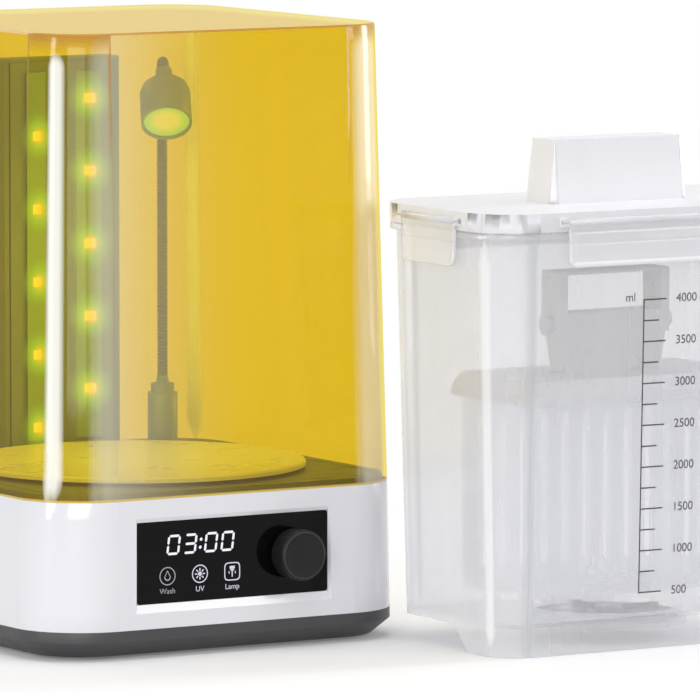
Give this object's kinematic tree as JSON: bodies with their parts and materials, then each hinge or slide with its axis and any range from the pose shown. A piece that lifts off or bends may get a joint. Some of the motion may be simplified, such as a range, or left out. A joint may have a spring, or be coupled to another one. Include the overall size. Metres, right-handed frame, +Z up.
{
  "type": "resin wash station",
  "caption": "Desktop wash and cure station: curing base with lift-off amber cover, turntable, light tower and bendable lamp, beside a lidded wash tub with basket and impeller.",
  "frame": {"origin": "on the floor, under the middle of the box that holds the machine and its tub", "axes": "+X to the right along the machine's front, +Y to its back, +Z up"},
  "size_m": [0.4284, 0.3498, 0.331],
  "materials": {
    "dark_plastic": "satin",
    "rubber": "matt",
    "steel": "brushed",
    "white_shell": "glossy",
    "amber_cover": "clear tinted",
    "black_panel": "glossy",
    "circuit_board": "satin",
    "display": "lit",
    "black_knob": "matt",
    "magnet": "plain",
    "turntable": "satin",
    "brass": "plain",
    "tower": "satin",
    "led_board": "satin",
    "led": "lit",
    "lamp_body": "satin",
    "lamp_neck": "satin",
    "lamp_lens": "frosted",
    "clear_tub": "frosted clear",
    "clear_lid": "frosted clear",
    "silicone": "matt",
    "impeller": "satin",
    "basket": "frosted clear",
    "plate_metal": "blasted",
    "grey_block": "satin"
  },
  "bodies": {
    "base": {"bottom_tray": "dark_plastic", "rubber_feet": "rubber", "base_screws": "steel", "base_shell": "white_shell", "deck_plate": "dark_plastic", "centre_pin": "steel", "panel_glass": "black_panel", "display_board": "circuit_board", "digit_module": "display", "mode_lights": "display", "encoder_body": "steel", "motor_bracket": "steel", "motor_can": "steel", "shaft_bearing": "steel", "board_posts": "brass", "main_board": "circuit_board", "dc_inlet": "dark_plastic", "switch_housing": "dark_plastic", "tower_housing": "tower", "tower_trims": "tower", "tower_cap": "tower", "led_board_left": "led_board", "led_board_right": "led_board", "leds_left": "led", "leds_right": "led", "lamp_socket": "lamp_body"},
    "cover": {"uv_cover": "amber_cover"},
    "drive": {"motor_rotor": "steel", "magnet_yoke": "steel", "drive_magnets": "magnet"},
    "turntable": {"turntable_disc": "turntable", "turntable_magnets": "magnet"},
    "press_plunger": {"encoder_plunger": "steel"},
    "knob": {"control_knob": "black_knob", "encoder_shaft": "steel"},
    "rocker": {"power_rocker": "dark_plastic"},
    "lamp_swivel": {"lamp_swivel": "lamp_body"},
    "neck_lower": {"lamp_neck_lower": "lamp_neck"},
    "neck_upper": {"lamp_neck_upper": "lamp_neck"},
    "lamp_head": {"lamp_stem": "lamp_body", "lamp_bell": "lamp_body", "lamp_lens": "lamp_lens", "lamp_led": "led"},
    "tub": {"wash_tub": "clear_tub", "impeller_axle": "steel"},
    "impeller": {"impeller_disc": "impeller", "impeller_magnets": "magnet"},
    "lid": {"tub_lid": "clear_lid", "lid_gasket": "silicone"},
    "flap_front": {"flap_front": "clear_lid"},
    "flap_back": {"flap_back": "clear_lid"},
    "flap_left": {"flap_left": "clear_lid"},
    "flap_right": {"flap_right": "clear_lid"},
    "basket": {"wash_basket": "basket"},
    "carrier": {"carrier_plate": "plate_metal", "carrier_block": "grey_block", "carrier_clamp": "grey_block"}
  },
  "joints": [
    {"name": "cover_lift", "type": "slide", "parent": "base", "child": "cover", "axis": [0, 0, 1], "range_m": [0, 0.27]},
    {"name": "drive_spin", "type": "hinge", "parent": "base", "child": "drive", "pos_m": [-0.1017, 0.047, 0.088], "axis": [0, 0, 1], "continuous": true},
    {"name": "turntable_lift", "type": "slide", "parent": "drive", "child": "turntable", "axis": [0, 0, 1], "range_m": [0, 0.06]},
    {"name": "knob_press", "type": "slide", "parent": "base", "child": "press_plunger", "axis": [0, 1, 0], "range_m": [0, 0.0008], "stiffness_N_per_m": 3000},
    {"name": "knob_turn", "type": "hinge", "parent": "press_plunger", "child": "knob", "pos_m": [-0.0677, -0.0609, 0.0505], "axis": [0, 1, 0], "continuous": true},
    {"name": "power_switch", "type": "hinge", "parent": "base", "child": "rocker", "pos_m": [-0.0717, 0.17178, 0.046], "axis": [-1, 0, 0], "range_deg": [0, 18]},
    {"name": "lamp_turn", "type": "hinge", "parent": "base", "child": "lamp_swivel", "pos_m": [-0.0297, 0.142, 0.117], "axis": [0, 0, 1], "range_deg": [-30, 30]},
    {"name": "lamp_bend_low", "type": "hinge", "parent": "lamp_swivel", "child": "neck_lower", "pos_m": [-0.0297, 0.142, 0.125], "axis": [0.891, -0.454, 0], "range_deg": [-2, 25]},
    {"name": "lamp_bend_mid", "type": "hinge", "parent": "neck_lower", "child": "neck_upper", "pos_m": [-0.0297, 0.142, 0.205], "axis": [0.891, -0.454, 0], "range_deg": [-3, 35]},
    {"name": "lamp_tilt", "type": "hinge", "parent": "neck_upper", "child": "lamp_head", "pos_m": [-0.03745, 0.12679, 0.29807], "axis": [0.891, -0.454, 0], "range_deg": [-35, 20]},
    {"name": "tub_lift", "type": "slide", "parent": "base", "child": "tub", "axis": [0, 0, 1], "range_m": [0, 0.25]},
    {"name": "impeller_spin", "type": "hinge", "parent": "tub", "child": "impeller", "pos_m": [0.1003, -0.108, 0.0103], "axis": [0, 0, 1], "continuous": true},
    {"name": "lid_lift", "type": "slide", "parent": "tub", "child": "lid", "axis": [0, 0, 1], "range_m": [0, 0.3]},
    {"name": "basket_lift", "type": "slide", "parent": "tub", "child": "basket", "axis": [0, 0, 1], "range_m": [0, 0.225]},
    {"name": "carrier_lift", "type": "slide", "parent": "tub", "child": "carrier", "axis": [0, 0, 1], "range_m": [0, 0.255]},
    {"name": "flap_front_hinge", "type": "hinge", "parent": "lid", "child": "flap_front", "pos_m": [0.1003, -0.1731, 0.231], "axis": [-1, 0, 0], "range_deg": [0, 110]},
    {"name": "flap_back_hinge", "type": "hinge", "parent": "lid", "child": "flap_back", "pos_m": [0.1003, -0.0429, 0.231], "axis": [1, 0, 0], "range_deg": [0, 110]},
    {"name": "flap_left_hinge", "type": "hinge", "parent": "lid", "child": "flap_left", "pos_m": [-0.0118, -0.108, 0.231], "axis": [0, 1, 0], "range_deg": [0, 110]},
    {"name": "flap_right_hinge", "type": "hinge", "parent": "lid", "child": "flap_right", "pos_m": [0.2124, -0.108, 0.231], "axis": [0, -1, 0], "range_deg": [0, 110]}
  ],
  "couplings": [
    {"joint": "basket_lift", "follows": "lid_lift", "ratio": 0.75},
    {"joint": "carrier_lift", "follows": "lid_lift", "ratio": 0.85}
  ]
}
